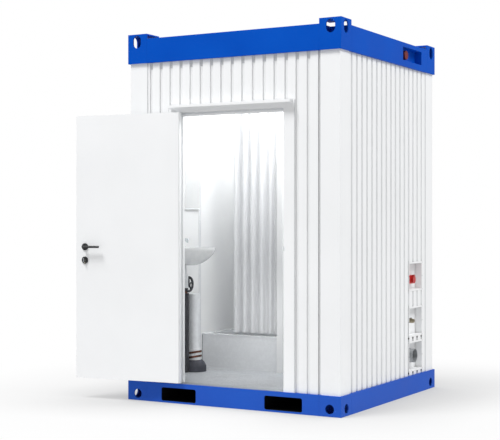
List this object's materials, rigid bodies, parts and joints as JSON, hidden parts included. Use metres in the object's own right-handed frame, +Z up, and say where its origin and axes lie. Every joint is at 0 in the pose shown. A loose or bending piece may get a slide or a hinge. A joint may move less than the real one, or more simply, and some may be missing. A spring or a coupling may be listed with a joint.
{
  "type": "portable toilet and shower cabin",
  "caption": "Container-frame sanitary cabin with blue rails, white grooved walls, an open door, wash basin, shower and toilet.",
  "frame": {"origin": "on the ground under the middle of the cabin, at the underside of the middle joist", "axes": "+Z up, +X to the right seen from the door side, +Y from the door to the rear wall"},
  "size_m": [2.2106, 1.9677, 2.79],
  "materials": {
    "blue_frame_paint": "gloss",
    "white_wall_coating": "satin",
    "white_door_paint": "satin",
    "black_paint": "matte",
    "zinc_coating": "satin",
    "floor_board": "matte",
    "floor_sheet": "matte",
    "mineral_wool": "matte",
    "white_lining": "satin",
    "seal_rubber": "matte",
    "pale_rubber": "matte",
    "satin_steel": "satin",
    "black_plastic": "matte",
    "nickel_brass": "satin",
    "red_plastic": "gloss",
    "bright_brass": "satin",
    "white_plastic": "gloss",
    "curtain_cloth": "matte",
    "track_aluminium": "satin",
    "chrome": "gloss",
    "ceramic": "gloss",
    "pipe_plastic": "satin",
    "mirror_glass": "gloss",
    "copper": "satin",
    "paper": "matte"
  },
  "bodies": {
    "cabin": {"base_rails": "blue_frame_paint", "bottom_corner_blocks": "blue_frame_paint", "fork_pocket_tubes": "black_paint", "floor_deck": "floor_board", "floor_covering": "floor_sheet", "corner_posts": "white_wall_coating", "cladding_front": "white_wall_coating", "cladding_rear": "white_wall_coating", "cladding_left": "white_wall_coating", "cladding_right": "white_wall_coating", "insulation": "mineral_wool", "inner_linings": "white_lining", "roof_rails": "blue_frame_paint", "top_corner_blocks": "blue_frame_paint", "roof_sheet": "zinc_coating", "ceiling_panel": "white_lining", "door_frame": "white_door_paint", "threshold_plate": "zinc_coating", "drip_cap": "white_door_paint", "door_gasket": "pale_rubber", "hinge_frame_halves": "satin_steel", "connection_boxes": "white_wall_coating", "power_inlets": "red_plastic", "water_valve": "bright_brass", "shower_tray": "white_plastic", "tray_apron": "white_plastic", "shower_partition": "white_lining", "curtain_track": "track_aluminium", "shower_curtain": "curtain_cloth", "shower_fittings": "chrome", "wash_basin": "ceramic", "basin_tap": "chrome", "waste_pipes": "pipe_plastic", "mirror": "mirror_glass", "water_pipes": "copper", "riser_sleeve": "black_plastic", "floor_boot": "seal_rubber", "toilet_bowl": "ceramic", "cistern": "ceramic", "paper_holder": "chrome", "ceiling_light": "white_plastic"},
    "door": {"door_leaf": "white_door_paint", "hinge_leaf_halves": "satin_steel", "lock_case": "satin_steel", "handle_rosettes": "black_plastic", "lock_cylinder": "nickel_brass"},
    "door_levers": {"inner_lever_handle": "black_plastic", "outer_lever_handle": "black_plastic"},
    "latch": {"latch_bolt": "satin_steel"},
    "thumb_turn_body": {"thumb_turn": "satin_steel"},
    "deadbolt": {"dead_bolt": "satin_steel"},
    "inlet_lid": {"wall_inlet_lid": "red_plastic"},
    "water_lever": {"water_valve_lever": "black_plastic"},
    "basin_lever": {"tap_lever": "chrome"},
    "shower_lever": {"mixer_lever": "chrome"},
    "handwheel": {"valve_handwheel": "black_plastic"},
    "seat": {"toilet_seat": "white_plastic"},
    "seat_lid": {"toilet_lid": "white_plastic"},
    "flush": {"flush_button": "chrome"},
    "roll": {"paper_roll": "paper"}
  },
  "joints": [
    {"name": "door_swing", "type": "hinge", "parent": "cabin", "child": "door", "pos_m": [-0.435, -0.896, 1.19], "axis": [0, 0, 1], "range_deg": [0, 174.5]},
    {"name": "lever_press", "type": "hinge", "parent": "door", "child": "door_levers", "pos_m": [-1.21948, -1.00168, 1.168], "axis": [-0.0958, 0.9954, 0], "range_deg": [0, 40], "stiffness_Nm_per_rad": 1.5, "springref_deg": -20.05},
    {"name": "latch_slide", "type": "slide", "parent": "door", "child": "latch", "axis": [0.9954, 0.0958, 0], "range_m": [0, 0.011]},
    {"name": "dead_bolt_slide", "type": "slide", "parent": "door", "child": "deadbolt", "axis": [-0.9954, -0.0958, 0], "range_m": [0, 0.02]},
    {"name": "thumb_turn_turn", "type": "hinge", "parent": "door", "child": "thumb_turn_body", "pos_m": [-1.21948, -1.00168, 1.065], "axis": [0.0958, -0.9954, 0], "range_deg": [0, 90]},
    {"name": "inlet_lid_flap", "type": "hinge", "parent": "cabin", "child": "inlet_lid", "pos_m": [0.864, 0.52, 0.934], "axis": [0, -1, 0], "range_deg": [0, 110], "stiffness_Nm_per_rad": 0.02, "springref_deg": -34.38},
    {"name": "water_valve_turn", "type": "hinge", "parent": "cabin", "child": "water_lever", "pos_m": [0.852, 0.505, 0.593], "axis": [0, 0, 1], "range_deg": [0, 90]},
    {"name": "tap_turn", "type": "hinge", "parent": "cabin", "child": "basin_lever", "pos_m": [-0.752, -0.49, 1.258], "axis": [0, 0, 1], "range_deg": [0, 90]},
    {"name": "mixer_turn", "type": "hinge", "parent": "cabin", "child": "shower_lever", "pos_m": [-0.45, 0.722, 1.25], "axis": [0, -1, 0], "range_deg": [0, 120]},
    {"name": "handwheel_turn", "type": "hinge", "parent": "cabin", "child": "handwheel", "pos_m": [-0.729, -0.301, 0.858], "axis": [1, 0, 0], "range_deg": [0, 720]},
    {"name": "seat_lift", "type": "hinge", "parent": "cabin", "child": "seat", "pos_m": [0.37, 0.612, 0.5578], "axis": [-1, 0, 0], "range_deg": [0, 91]},
    {"name": "lid_lift", "type": "hinge", "parent": "cabin", "child": "seat_lid", "pos_m": [0.37, 0.612, 0.5578], "axis": [-1, 0, 0], "range_deg": [-93, 0]},
    {"name": "flush_press", "type": "slide", "parent": "cabin", "child": "flush", "axis": [0, 0, -1], "range_m": [0, 0.0035], "stiffness_N_per_m": 400, "springref_m": -0.004},
    {"name": "paper_roll_spin", "type": "hinge", "parent": "cabin", "child": "roll", "pos_m": [0.018, 0.33, 0.85], "axis": [0, 1, 0], "continuous": true}
  ],
  "couplings": [
    {"joint": "latch_slide", "follows": "lever_press", "m_per_rad": 0.0157},
    {"joint": "thumb_turn_turn", "follows": "dead_bolt_slide", "rad_per_m": 78.5}
  ]
}
